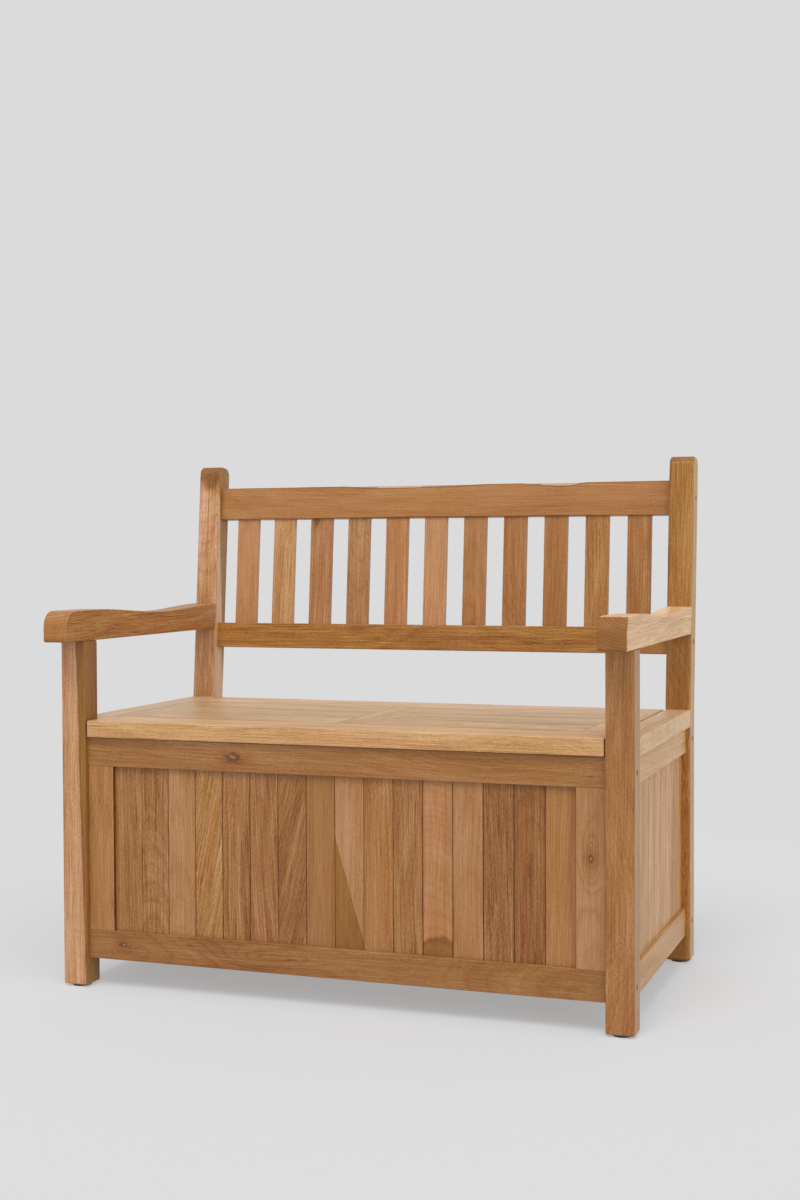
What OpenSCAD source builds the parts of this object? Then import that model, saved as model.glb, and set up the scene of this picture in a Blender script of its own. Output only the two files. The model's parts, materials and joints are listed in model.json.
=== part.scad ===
// Garden storage bench: a panelled box with a hinged slatted-frame seat as its lid,
// armrests, and a raked slatted back. Millimetres, +Z up, front towards -Y.
// The origin is at the middle of the footprint's bounding box, on the floor.

/* [Overall] */
// Width over the legs
bench_w = 1000; // [800:10:1400]
// Depth of the box, from the front legs' faces to the rear legs' backs
box_d = 544; // [460:1:640]
// Height of the seat above the floor
seat_h = 462; // [410:1:510]
// Height of the rear legs' tops above the floor
back_h = 923; // [860:1:1000]

/* [Legs] */
// Width of every leg across the bench, which the armrests share
leg_w = 45.5; // [42:0.5:56]
// Depth of a front leg
front_leg_d = 42; // [40:1:54]
// Depth of a rear leg
rear_leg_d = 46; // [42:1:56]
// Backward tilt of the rear legs above the seat, in degrees
rake = 5; // [3:0.5:8]
// Radius of the rounded corners at the rear legs' tops
leg_top_r = 16; // [6:1:20]
// Diameter of a foot glide
glide_dia = 32; // [24:1:38]
// Thickness of a foot glide
glide_h = 4; // [3:0.5:8]

/* [Box rails] */
// Thickness of the rails and stiles of the box
rail_t = 22; // [20:1:26]
// How far the rails lie behind the legs' outer faces
rail_recess = 8.5; // [4:0.5:12]
// Height of the bottom rails' lower edges above the floor
bottom_rail_z = 50.5; // [35:0.5:80]
// Height of a bottom rail
bottom_rail_h = 50; // [40:1:65]
// Height of the front top rail
top_rail_h = 49.5; // [40:0.5:65]
// Height of the rear top rail
rear_top_rail_h = 69; // [55:1:90]
// Width of a front stile
stile_w = 48.5; // [44:0.5:70]

/* [Panels] */
// Width aimed at for a panel board
board_w = 50.6; // [40:0.2:70]
// Thickness of a panel board
board_t = 9; // [8:0.5:10]
// How far the boards lie behind the rails' faces
board_recess = 7.5; // [5:0.5:8]
// Depth of the grooves that hold the boards
groove_d = 6; // [4:0.5:8]
// Gap between neighbouring boards
board_gap = 0.5; // [0.3:0.1:1.2]
// Thickness of the boards' tongues
tongue_t = 3; // [2:0.5:3.5]
// Length of the boards' tongues
tongue_l = 4; // [3:0.5:6]

/* [Seat lid] */
// Thickness of the lid's frame
lid_t = 28; // [24:1:34]
// Width of the lid's front and rear rails
lid_rail_w = 90; // [60:1:110]
// Width of the lid's end rails
lid_end_w = 55; // [45:1:80]
// Width of the lid's middle rail
lid_mid_w = 60; // [45:1:80]
// Thickness of the lid's slats
lid_slat_t = 22; // [18:1:24]
// Gap between the lid's slats
lid_slat_gap = 1.2; // [0.5:0.1:4]
// Gap between the lid and what stands beside it
lid_side_gap = 2.5; // [1.5:0.5:5]
// Gap between the lid and the front top rail
lid_rest_gap = 0.8; // [0.3:0.1:2]
// Thickness of the fixed strips beside the lid
strip_t = 31; // [26:1:36]

/* [Armrests] */
// Height of the armrests' undersides above the seat
arm_rise = 137; // [110:1:170]
// Thickness of an armrest at its front
arm_front_t = 53; // [42:0.5:60]
// Thickness of an armrest where it dips
arm_dip_t = 41.5; // [36:0.5:46]
// Thickness of an armrest at the rear leg
arm_rear_t = 50; // [44:0.5:60]
// How far an armrest's nose stands in front of the front leg
arm_nose = 58; // [35:1:80]
// Distance from the front legs' faces back to an armrest's dip
arm_dip_y = 300; // [240:5:340]
// Radius of the nose's upper edge
nose_r = 27; // [15:1:35]
// Radius of the nose's lower edge
nose_low_r = 5; // [2:0.5:8]

/* [Back] */
// Distance up the raked leg from the seat to the lower rail
lower_rail_s = 101; // [80:0.5:120]
// Height of the lower rail
lower_rail_h = 48.5; // [38:0.5:60]
// Thickness of the lower rail
lower_rail_t = 27; // [24:0.5:28]
// How far the lower rail lies behind the legs' front faces
lower_rail_recess = 11; // [6:0.5:14]
// Distance from the rear leg's top down to the top rail
top_rail_drop = 43.5; // [28:0.5:60]
// Height of the top rail
back_rail_h = 63; // [50:0.5:80]
// Thickness of the top rail
back_rail_t = 24; // [20:0.5:26]
// How far the top rail lies behind the legs' front faces
back_rail_recess = 14.5; // [10:0.5:16]
// How far the slats lie behind the legs' front faces
slat_recess = 18.5; // [17:0.5:22]
// Width of a back slat
slat_w = 44.5; // [40:0.5:60]
// Thickness of a back slat
slat_t = 12; // [9:0.5:13]

/* [Joinery] */
// Clearance around a tenon
fit = 0.15; // [0.1:0.05:0.3]
// Space left beyond a tenon's end
end_gap = 1; // [0.5:0.5:2]
// Length of a tenon across the bench
tenon_l = 18; // [12:1:20]
// Length of a side rail's tenon
side_tenon_l = 13; // [8:1:13]
// Width of the tenon at a stile's end
stile_tenon_w = 12; // [8:1:14]
// Width of the shoulder around a box rail's tenon
shoulder = 5; // [4:0.5:6]
// Length of a back slat's tenon
slat_tenon_l = 12; // [8:1:16]
// Length of an armrest's rear tenon
arm_tenon_l = 14; // [10:1:20]
// Height of the tenon on a front leg's top
leg_tenon_h = 22; // [14:1:26]
// Length of the lid rails' tenons
lid_tenon_l = 25; // [15:1:40]
// Thickness of the lid rails' tenons
lid_tenon_t = 10; // [6:1:12]
// Length of the tongues on the lid's slats
lid_tongue_l = 7; // [5:0.5:12]
// Thickness of the tongues on the lid's slats
lid_tongue_t = 8; // [5:0.5:9]

/* [Floor of the box] */
// Width and height of a floor ledger
ledger_w = 18; // [14:1:26]
// How far the ledgers' undersides lie above those of the bottom rails
ledger_lift = 2; // [0:1:10]
// Distance from a ledger's end to its outer screw
ledger_screw_inset = 90.5; // [30:0.5:150]
// Thickness of the floor slats
floor_slat_t = 12; // [8:1:16]
// Width aimed at for a floor slat and its gap
floor_pitch = 90; // [60:1:130]
// Gap between the floor slats
floor_slat_gap = 7; // [4:1:14]

/* [Bolts and screws] */
// Diameter of a frame bolt's shank
bolt_dia = 5; // [4:0.5:6]
// Length of a frame bolt under its head
bolt_l = 60; // [55:1:70]
// Diameter of a frame bolt's head
bolt_head_dia = 8.5; // [7:0.5:9]
// Height of a frame bolt's head
bolt_head_h = 5; // [3.5:0.5:6]
// Depth of the holes that hold the bolt heads
counterbore = 9; // [7:0.5:11]
// Diameter of a barrel nut
nut_dia = 10; // [9:0.5:12]
// Length of a barrel nut
nut_l = 13; // [11:0.5:14]
// Distance from a rail's shoulder to its barrel nut
nut_set = 14; // [11:1:16]
// Diameter of a wood screw's shank
screw_dia = 3.5; // [3:0.5:4.5]
// Length of a hinge screw
screw_l = 18; // [14:1:20]
// How far a ledger's screws reach into the rail
screw_bite = 9; // [6:1:12]
// Diameter of a wood screw's head
screw_head_dia = 7; // [6:0.5:8]

/* [Lid hinges] */
// Distance from the middle hinge to an outer one
hinge_pitch = 300; // [200:5:330]
// Length of a hinge along its pin
hinge_w = 64; // [58:1:90]
// Outer diameter of a hinge's knuckles
knuckle_dia = 9; // [8:0.5:12]
// Diameter of a hinge's pin
pin_dia = 5; // [4:0.5:6]
// Thickness of a hinge's leaves
leaf_t = 2; // [1.5:0.5:2.5]
// Width of a hinge's leaf from its pin
leaf_w = 21; // [18:0.5:22]
// Depth of the pin below the top of the seat
pin_drop = 5; // [4.8:0.1:7]

/* [Hidden] */

slat_count = 11;       // slats in the back, one node each
bay_slats = 3;         // lid slats in each of the lid's two bays
knuckles = 5;          // knuckles of one hinge, the outer ones fixed
knuckle_gap = 0.4;     // play between neighbouring knuckles
run_fit = 0.05;        // radial clearance of pins, bolts and screws in their metal holes
hole_fit = 0.2;        // radial clearance of bolts and nuts in wood
hex_key = 4;           // key size of a frame bolt's socket
glide_pin_dia = 5;     // pin that holds a glide
glide_pin_l = 14;      // length of that pin
hinge_clear = 0.3;     // gap between a knuckle and the wood beside it
rear_rail_gap = 1.5;   // gap between the knuckles and the rear top rail
screw_spread = 23;     // distance from a leaf's middle screw to an outer one
pin_proud = 1;         // how far a hinge's pin stands out at each end
over = 1;              // overrun of a cutter past the face it cuts
round_fn = 48;         // facets of a drawn circle

half_w = bench_w / 2;
inner_half = half_w - leg_w;
rear_y = box_d - rear_leg_d;
lid_half = inner_half - lid_side_gap;
lid_low = seat_h - lid_t;
top_rail_z = lid_low - lid_rest_gap - top_rail_h;
strip_low = seat_h - strip_t;
arm_low = seat_h + arm_rise;
side_top_h = strip_low - top_rail_z;
leg_low = glide_h;

// Raked frame: origin on the rear leg's front face at seat height, s up the leg, t into it.
top_s = (back_h - seat_h - leg_top_r + leg_top_r * sin(rake)) / cos(rake) + leg_top_r;
back_rail_s = top_s - top_rail_drop - back_rail_h;
slat_low_s = lower_rail_s + lower_rail_h;
slat_gap = (2 * inner_half - slat_count * slat_w) / (slat_count + 1);
function raked_y(t, s) = rear_y + s * sin(rake) + t * cos(rake);
function raked_z(t, s) = seat_h + s * cos(rake) - t * sin(rake);
function raked_point(p) = [raked_y(p[0], p[1]), raked_z(p[0], p[1])];
function arc_point(u, v, r, a) = [u + r * cos(a), v + r * sin(a)];
function leg_face_y(z) = rear_y + max(0, z - seat_h) * tan(rake);

// Footprint, which sets the origin.
front_most = -arm_nose;
rear_most = raked_y(rear_leg_d - leg_top_r, top_s - leg_top_r) + leg_top_r;
mid_y = (front_most + rear_most) / 2;

// Planes of the box's rails and boards, measured inwards from the legs' outer faces.
board_in = rail_recess + board_recess;
groove_l = groove_d + end_gap;
front_board_y = board_in;
side_board_x = half_w - board_in - board_t;
panel_low = bottom_rail_z + bottom_rail_h;
front_field = 2 * (inner_half - stile_w);
side_field = rear_y - front_leg_d;

// Hinge line, and the rear rails behind and below its knuckles
pin_y = rear_y + knuckle_dia / 2 + hinge_clear;
pin_z = seat_h - pin_drop;
rear_rail_y = pin_y + knuckle_dia / 2 + rear_rail_gap;
rear_board_y = rear_rail_y + (rail_t - board_t) / 2;
rear_top_z = pin_z - knuckle_dia / 2 - hinge_clear - rear_top_rail_h;
hinge_x = [-hinge_pitch, 0, hinge_pitch];
knuckle_l = (hinge_w - (knuckles - 1) * knuckle_gap) / knuckles;

// Frame bolts: [y, z, tilt, side that the barrel nut goes in from]
front_rail_y = rail_recess;
bolt_points = [
    [front_rail_y + rail_t / 2, top_rail_z + top_rail_h / 2, 0, 1],
    [front_rail_y + rail_t / 2, bottom_rail_z + bottom_rail_h / 2, 0, 1],
    [rear_rail_y + rail_t / 2, top_rail_z + top_rail_h / 2, 0, -1],
    [rear_rail_y + rail_t / 2, bottom_rail_z + bottom_rail_h / 2, 0, -1],
    [raked_y(lower_rail_recess + lower_rail_t / 2, lower_rail_s + lower_rail_h / 2),
     raked_z(lower_rail_recess + lower_rail_t / 2, lower_rail_s + lower_rail_h / 2), rake, 1],
    [raked_y(back_rail_recess + back_rail_t / 2, back_rail_s + back_rail_h / 2),
     raked_z(back_rail_recess + back_rail_t / 2, back_rail_s + back_rail_h / 2), rake, 1]];

teak = "#b9854f";
teak_light = "#c99a66";
brass_tone = "#b08d57";
steel_tone = "#8c8c8c";
glide_tone = "#2b2622";

// ---- placing ----

// Puts a piece drawn from the front legs' faces onto the origin.
module seated() {
    translate([0, -mid_y, 0]) children();
}

// Draws a piece and its mirror image across the bench.
module both_sides() {
    children();
    mirror([1, 0, 0]) children();
}

// Draws a right-hand piece, mirrored when side is -1.
module on_side(side) {
    mirror([side < 0 ? 1 : 0, 0, 0]) children();
}

// Stands its children in the raked frame: +Y into the leg, +Z up the leg.
module raked() {
    translate([0, rear_y, seat_h]) rotate([-rake, 0, 0]) children();
}

// A block from its low corner to its high corner.
module block(low, high) {
    translate(low) cube(high - low);
}

// A bar along X between x0 and x1 with a round section.
module round_bar(x0, x1, dia) {
    translate([x0, 0, 0]) rotate([0, 90, 0]) cylinder(h = x1 - x0, d = dia, $fn = round_fn);
}

// ---- frame bolts ----

// The bore for a bolt through a right-hand leg and into a rail, at its point.
module bolt_bore() {
    round_bar(half_w - counterbore - bolt_l - end_gap, half_w, bolt_dia + 2 * hole_fit);
    round_bar(half_w - counterbore, half_w + over, bolt_head_dia + 2 * hole_fit);
}

// The cross hole for a barrel nut, opening to the side the nut goes in from.
module nut_bore(point) {
    reach = (nut_l + 2 * hole_fit) / 2;
    translate([inner_half - nut_set, 0, 0]) rotate([point[3] * -90, 0, 0])
        translate([0, 0, -reach]) cylinder(h = reach + rail_t, d = nut_dia + 2 * hole_fit, $fn = round_fn);
}

// Moves children to a bolt's point, tilted with its rail.
module at_bolt(point) {
    translate([0, point[0], point[1]]) rotate([-point[2], 0, 0]) children();
}

// Bolt and nut bores of the chosen points, on both sides of the bench.
module bolt_bores(points) {
    both_sides() for (point = points) at_bolt(point) {
        bolt_bore();
        nut_bore(point);
    }
}

module leg_bolt_bores(points) {
    for (point = points) at_bolt(point) bolt_bore();
}

module frame_bolt() {
    seat_x = half_w - counterbore;
    difference() {
        union() {
            round_bar(seat_x - bolt_l, seat_x + over, bolt_dia);
            round_bar(seat_x, seat_x + bolt_head_h, bolt_head_dia);
        }
        translate([seat_x + bolt_head_h / 2, 0, 0]) rotate([0, 90, 0])
            cylinder(h = bolt_head_h, d = hex_key / cos(30), $fn = 6);
    }
}

module barrel_nut() {
    translate([inner_half - nut_set, 0, 0]) difference() {
        rotate([90, 0, 0]) cylinder(h = nut_l, d = nut_dia, center = true, $fn = round_fn);
        round_bar(-nut_dia, nut_dia, bolt_dia + 2 * run_fit);
    }
}

// ---- tenons and panel grooves ----

// Extra depth of a mortise beyond its tenon.
function deepen(grow) = grow > 0 ? end_gap : 0;

// Tenon at the right-hand end of a rail across the bench; grow opens it into a mortise.
module cross_tenon(y, z, t, h, grow = 0) {
    block([inner_half - tenon_l, y + shoulder - grow, z + shoulder - grow],
          [inner_half + tenon_l + deepen(grow), y + t - shoulder + grow, z + h - shoulder + grow]);
}

module front_rail_tenons(grow = 0) {
    cross_tenon(front_rail_y, top_rail_z, rail_t, top_rail_h, grow);
    cross_tenon(front_rail_y, bottom_rail_z, rail_t, bottom_rail_h, grow);
}

module rear_rail_tenons(grow = 0) {
    cross_tenon(rear_rail_y, rear_top_z, rail_t, rear_top_rail_h, grow);
    cross_tenon(rear_rail_y, bottom_rail_z, rail_t, bottom_rail_h, grow);
}

// Both end tenons of a right-hand side rail, from one mortise bottom to the other.
module side_tenons(z, h, grow = 0) {
    reach = side_tenon_l + deepen(grow);
    x = half_w - rail_recess;
    block([x - rail_t + shoulder - grow, front_leg_d - reach, z + shoulder - grow],
          [x - shoulder + grow, rear_y + reach, z + h - shoulder + grow]);
}

module all_side_tenons(grow = 0) {
    side_tenons(top_rail_z, side_top_h, grow);
    side_tenons(bottom_rail_z, bottom_rail_h, grow);
    strip_tenons(grow);
}

// Stub tenons of a right-hand seat strip.
module strip_tenons(grow = 0) {
    reach = side_tenon_l + deepen(grow);
    block([inner_half + 2 * shoulder - grow, front_leg_d - reach, strip_low + shoulder - grow],
          [half_w - 2 * shoulder + grow, rear_y + reach, seat_h - 2 * shoulder + grow]);
}

// Space that the front, side and rear panels take, grooves included.
module front_panel_space() {
    block([-front_field / 2 - groove_l, front_board_y - fit, panel_low - groove_l],
          [front_field / 2 + groove_l, front_board_y + board_t + fit, top_rail_z + groove_l]);
}

module side_panel_space() {
    block([side_board_x - fit, front_leg_d - groove_l, panel_low - groove_l],
          [side_board_x + board_t + fit, rear_y + groove_l, top_rail_z + groove_l]);
}

module rear_panel_space() {
    block([-inner_half - groove_l, rear_board_y - fit, panel_low - groove_l],
          [inner_half + groove_l, rear_board_y + board_t + fit, rear_top_z + groove_l]);
}

// ---- legs ----

module glide_hole(x, y) {
    translate([x, y, leg_low - over])
        cylinder(h = glide_pin_l + 2 * over, d = glide_pin_dia + 2 * hole_fit, $fn = round_fn);
}

// Tenon on a right-hand front leg's top, into the armrest.
module arm_seat_tenon(grow = 0) {
    block([inner_half + 2 * shoulder - grow, 2 * shoulder - grow, arm_low - leg_tenon_h],
          [half_w - 2 * shoulder + grow, front_leg_d - 2 * shoulder + grow,
           arm_low + leg_tenon_h + deepen(grow)]);
}

module front_leg(side) {
    color(teak) seated() on_side(side) difference() {
        union() {
            block([inner_half, 0, leg_low], [half_w, front_leg_d, arm_low]);
            arm_seat_tenon();
        }
        front_rail_tenons(fit);
        all_side_tenons(fit);
        side_panel_space();
        leg_bolt_bores([bolt_points[0], bolt_points[1]]);
        glide_hole(half_w - leg_w / 2, front_leg_d / 2);
    }
}

// Side outline of a rear leg: upright to the seat, then raked, with a rounded top.
function rear_leg_outline() = concat(
    [[rear_y, leg_low], [rear_y + rear_leg_d, leg_low],
     [rear_y + rear_leg_d, seat_h - rear_leg_d * tan(rake / 2)]],
    [for (a = [0:9:90]) raked_point(arc_point(rear_leg_d - leg_top_r, top_s - leg_top_r, leg_top_r, a))],
    [for (a = [90:9:180]) raked_point(arc_point(leg_top_r, top_s - leg_top_r, leg_top_r, a))],
    [[rear_y, seat_h]]);

// Extrudes a [y, z] outline along X from x0 to x1.
module along_x(x0, x1, outline) {
    translate([x0, 0, 0]) rotate([90, 0, 90]) linear_extrude(height = x1 - x0) polygon(outline);
}

module rear_leg(side) {
    color(teak) seated() on_side(side) difference() {
        along_x(inner_half, half_w, rear_leg_outline());
        rear_rail_tenons(fit);
        all_side_tenons(fit);
        side_panel_space();
        rear_panel_space();
        raked() {
            raked_rail_tenon(lower_rail_recess, lower_rail_s, lower_rail_t, lower_rail_h, fit);
            raked_rail_tenon(back_rail_recess, back_rail_s, back_rail_t, back_rail_h, fit);
            arm_tenon(fit);
        }
        leg_bolt_bores([for (i = [2:5]) bolt_points[i]]);
        glide_hole(half_w - leg_w / 2, rear_y + rear_leg_d / 2);
    }
}

// ---- armrests ----

arm_crown_y = front_leg_d;
arm_steps = 12;
function ease(u) = (1 - cos(180 * u)) / 2;
function blend(a, b, u) = a + (b - a) * ease(u);

// Side outline of an armrest: rounded nose, dipped top, end cut to the raked leg.
arm_outline = concat(
    [for (a = [270:-15:180]) arc_point(nose_low_r - arm_nose, arm_low + nose_low_r, nose_low_r, a)],
    [for (a = [180:-9:90]) arc_point(nose_r - arm_nose, arm_low + arm_front_t - nose_r, nose_r, a)],
    [for (i = [0:arm_steps]) let (u = i / arm_steps)
        [arm_crown_y + (arm_dip_y - arm_crown_y) * u, arm_low + blend(arm_front_t, arm_dip_t, u)]],
    [for (i = [1:arm_steps]) let (u = i / arm_steps, z = arm_low + blend(arm_dip_t, arm_rear_t, u))
        [arm_dip_y + (leg_face_y(z) - arm_dip_y) * u, z]],
    [[leg_face_y(arm_low), arm_low]]);

// Tenon on a right-hand armrest's rear end, in the raked frame.
module arm_tenon(grow = 0) {
    s0 = (arm_low - seat_h) / cos(rake) + 2 * shoulder;
    s1 = s0 + arm_rear_t - 4 * shoulder;
    block([inner_half + 2 * shoulder - grow, -arm_tenon_l, s0 - grow],
          [half_w - 2 * shoulder + grow, arm_tenon_l + deepen(grow), s1 + grow]);
}

module armrest(side) {
    color(teak_light) seated() on_side(side) difference() {
        union() {
            along_x(inner_half, half_w, arm_outline);
            raked() arm_tenon();
        }
        arm_seat_tenon(fit);
    }
}

// ---- back ----

// Tenon of a back rail in the raked frame, at the right-hand end.
module raked_rail_tenon(t0, s0, t, h, grow = 0) {
    block([inner_half - tenon_l, t0 + shoulder - grow, s0 + shoulder - grow],
          [inner_half + tenon_l + deepen(grow), t0 + t - shoulder + grow, s0 + h - shoulder + grow]);
}

// One back slat with its tenons in the raked frame; grow opens it into mortises.
module back_slat_solid(i, grow = 0) {
    x = -inner_half + slat_gap * i + slat_w * (i - 1);
    reach = slat_tenon_l + deepen(grow);
    block([x - grow, slat_recess - grow, slat_low_s - reach],
          [x + slat_w + grow, slat_recess + slat_t + grow, back_rail_s + reach]);
}

module back_slat(i) {
    color(teak_light) seated() raked() back_slat_solid(i);
}

module back_rail(t0, s0, t, h, bolt) {
    color(teak) seated() difference() {
        raked() difference() {
            union() {
                block([-inner_half, t0, s0], [inner_half, t0 + t, s0 + h]);
                both_sides() raked_rail_tenon(t0, s0, t, h);
            }
            for (i = [1:slat_count]) back_slat_solid(i, fit);
        }
        bolt_bores([bolt]);
    }
}

module back_top_rail() {
    back_rail(back_rail_recess, back_rail_s, back_rail_t, back_rail_h, bolt_points[5]);
}

module back_lower_rail() {
    back_rail(lower_rail_recess, lower_rail_s, lower_rail_t, lower_rail_h, bolt_points[4]);
}

// ---- box rails and stiles ----

// A rail across the bench with a tenon at each end.
module cross_rail(y, z, t, h) {
    block([-inner_half, y, z], [inner_half, y + t, z + h]);
    both_sides() cross_tenon(y, z, t, h);
}

module front_rail(z, h, bolt) {
    color(teak) seated() difference() {
        cross_rail(front_rail_y, z, rail_t, h);
        front_panel_space();
        both_sides() stile_tenons(fit);
        bolt_bores([bolt]);
        ledger_screw_holes(front_screw_y, -1);
    }
}

module front_top_rail() {
    front_rail(top_rail_z, top_rail_h, bolt_points[0]);
}

module front_bottom_rail() {
    front_rail(bottom_rail_z, bottom_rail_h, bolt_points[1]);
}

module rear_rail(z, h, bolt) {
    color(teak) seated() difference() {
        cross_rail(rear_rail_y, z, rail_t, h);
        rear_panel_space();
        bolt_bores([bolt]);
        ledger_screw_holes(rear_screw_y, 1);
        hinge_fixed_screw_set(run_fit);
    }
}

module rear_top_rail() {
    rear_rail(rear_top_z, rear_top_rail_h, bolt_points[2]);
}

module rear_bottom_rail() {
    rear_rail(bottom_rail_z, bottom_rail_h, bolt_points[3]);
}

// Stub tenons of the right-hand stile, into both front rails.
module stile_tenons(grow = 0) {
    x = inner_half - stile_w + groove_d + 2 * end_gap;
    reach = side_tenon_l + deepen(grow);
    block([x - grow, front_board_y - grow, panel_low - reach],
          [x + stile_tenon_w + grow, front_board_y + board_t + grow, top_rail_z + reach]);
}

module front_stile(side) {
    color(teak) seated() on_side(side) difference() {
        union() {
            block([inner_half - stile_w, front_rail_y, panel_low],
                  [inner_half, front_rail_y + rail_t, top_rail_z]);
            stile_tenons();
        }
        front_panel_space();
    }
}

module side_rail(side, z, h) {
    x = half_w - rail_recess;
    color(teak) seated() on_side(side) difference() {
        union() {
            block([x - rail_t, front_leg_d, z], [x, rear_y, z + h]);
            side_tenons(z, h);
        }
        side_panel_space();
    }
}

module seat_strip(side) {
    color(teak_light) seated() on_side(side) union() {
        block([inner_half, front_leg_d, strip_low], [half_w, rear_y, seat_h]);
        strip_tenons();
    }
}

// ---- panels ----

// A row of upright tongued boards that fills a field along X, edges in the grooves.
module board_row(field, low, high) {
    count = round(field / board_w);
    pitch = field / count;
    mid = board_t / 2;
    for (i = [0:count - 1]) {
        x0 = i * pitch + (i == 0 ? -groove_d : board_gap / 2);
        x1 = (i + 1) * pitch + (i == count - 1 ? groove_d : -board_gap / 2);
        difference() {
            union() {
                block([x0, 0, low - groove_d], [x1, board_t, high + groove_d]);
                if (i < count - 1)
                    block([x1 - over, mid - tongue_t / 2, low - groove_d],
                          [x1 + tongue_l, mid + tongue_t / 2, high + groove_d]);
            }
            if (i > 0)
                block([x0 - over, mid - tongue_t / 2 - fit, low - groove_d - over],
                      [x0 - board_gap + tongue_l + fit, mid + tongue_t / 2 + fit, high + groove_d + over]);
        }
    }
}

module front_boards() {
    color(teak_light) seated() translate([-front_field / 2, front_board_y, 0])
        board_row(front_field, panel_low, top_rail_z);
}

module rear_boards() {
    color(teak_light) seated() translate([-inner_half, rear_board_y, 0])
        board_row(2 * inner_half, panel_low, rear_top_z);
}

module side_boards(side) {
    color(teak_light) seated() on_side(side) translate([side_board_x + board_t, front_leg_d, 0])
        rotate([0, 0, 90]) board_row(side_field, panel_low, top_rail_z);
}

// ---- floor of the box ----

ledger_z = bottom_rail_z + ledger_lift;
ledger_half = inner_half - end_gap;
front_ledger_y = front_rail_y + rail_t;
rear_ledger_y = rear_rail_y - ledger_w;
front_screw_y = front_ledger_y + ledger_w;
rear_screw_y = rear_ledger_y;
outer_screw_x = ledger_half - ledger_screw_inset;
ledger_screw_x = [-outer_screw_x, 0, outer_screw_x];

// A countersunk wood screw along +Z with its head's face at the origin.
module wood_screw(length, grow = 0) {
    head_h = (screw_head_dia - screw_dia) / 2;
    shank = screw_dia + 2 * grow;
    head = screw_head_dia + 2 * grow;
    translate([0, 0, -length - grow]) cylinder(h = length + grow, d = shank, $fn = round_fn);
    translate([0, 0, -head_h]) cylinder(h = head_h, d1 = shank, d2 = head, $fn = round_fn);
}

// The screws of one ledger, pointing along -Y times toward, heads at y.
module ledger_screw_row(y, toward, grow = 0) {
    for (x = ledger_screw_x) translate([x, y, ledger_z + ledger_w / 2]) rotate([toward * 90, 0, 0])
        wood_screw(ledger_w + screw_bite, grow);
}

module ledger_screw_holes(y, toward) {
    ledger_screw_row(y, toward, run_fit);
}

module floor_ledger(y, screw_y, toward) {
    color(teak) seated() difference() {
        block([-ledger_half, y, ledger_z], [ledger_half, y + ledger_w, ledger_z + ledger_w]);
        ledger_screw_holes(screw_y, toward);
    }
}

module ledger_screws() {
    color(steel_tone) seated() {
        ledger_screw_row(front_screw_y, -1);
        ledger_screw_row(rear_screw_y, 1);
    }
}

module floor_slats() {
    count = round(2 * ledger_half / floor_pitch);
    pitch = 2 * ledger_half / count;
    low = ledger_z + ledger_w;
    color(teak_light) seated() for (i = [0:count - 1]) {
        x = -ledger_half + i * pitch;
        block([x + floor_slat_gap / 2, front_ledger_y + end_gap, low],
              [x + pitch - floor_slat_gap / 2, rear_rail_y - end_gap, low + floor_slat_t]);
    }
}

// ---- seat lid ----

lid_mid_z = seat_h - lid_t / 2;
bay_y0 = lid_rail_w;
bay_y1 = rear_y - lid_rail_w;
bay_pitch = (bay_y1 - bay_y0) / bay_slats;

// Tenons of a lid cross rail between x0 and x1, into the front and rear rails.
module lid_cross_tenons(x0, x1, grow = 0) {
    reach = lid_tenon_l + deepen(grow);
    block([x0 + shoulder - grow, bay_y0 - reach, lid_mid_z - lid_tenon_t / 2 - grow],
          [x1 - shoulder + grow, bay_y1 + reach, lid_mid_z + lid_tenon_t / 2 + grow]);
}

module all_lid_cross_tenons(grow = 0) {
    both_sides() lid_cross_tenons(lid_half - lid_end_w, lid_half, grow);
    lid_cross_tenons(-lid_mid_w / 2, lid_mid_w / 2, grow);
}

module lid_front_rail() {
    color(teak_light) seated() difference() {
        block([-lid_half, 0, lid_low], [lid_half, bay_y0, seat_h]);
        all_lid_cross_tenons(fit);
    }
}

module lid_rear_rail() {
    color(teak_light) seated() difference() {
        block([-lid_half, bay_y1, lid_low], [lid_half, rear_y, seat_h]);
        all_lid_cross_tenons(fit);
        hinge_lid_screw_set(run_fit);
    }
}

// Space that one bay's slats and their tongues take in the rails beside them.
module bay_tongue_space() {
    mid = seat_h - lid_slat_t / 2;
    both_sides() block(
        [lid_mid_w / 2 - lid_tongue_l - end_gap, bay_y0, mid - lid_tongue_t / 2 - fit],
        [lid_half - lid_end_w + lid_tongue_l + end_gap, bay_y1, mid + lid_tongue_t / 2 + fit]);
}

module lid_end_rail(side) {
    color(teak_light) seated() on_side(side) difference() {
        union() {
            block([lid_half - lid_end_w, bay_y0, lid_low], [lid_half, bay_y1, seat_h]);
            lid_cross_tenons(lid_half - lid_end_w, lid_half);
        }
        bay_tongue_space();
    }
}

module lid_mid_rail() {
    color(teak_light) seated() difference() {
        union() {
            block([-lid_mid_w / 2, bay_y0, lid_low], [lid_mid_w / 2, bay_y1, seat_h]);
            lid_cross_tenons(-lid_mid_w / 2, lid_mid_w / 2);
        }
        bay_tongue_space();
    }
}

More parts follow.
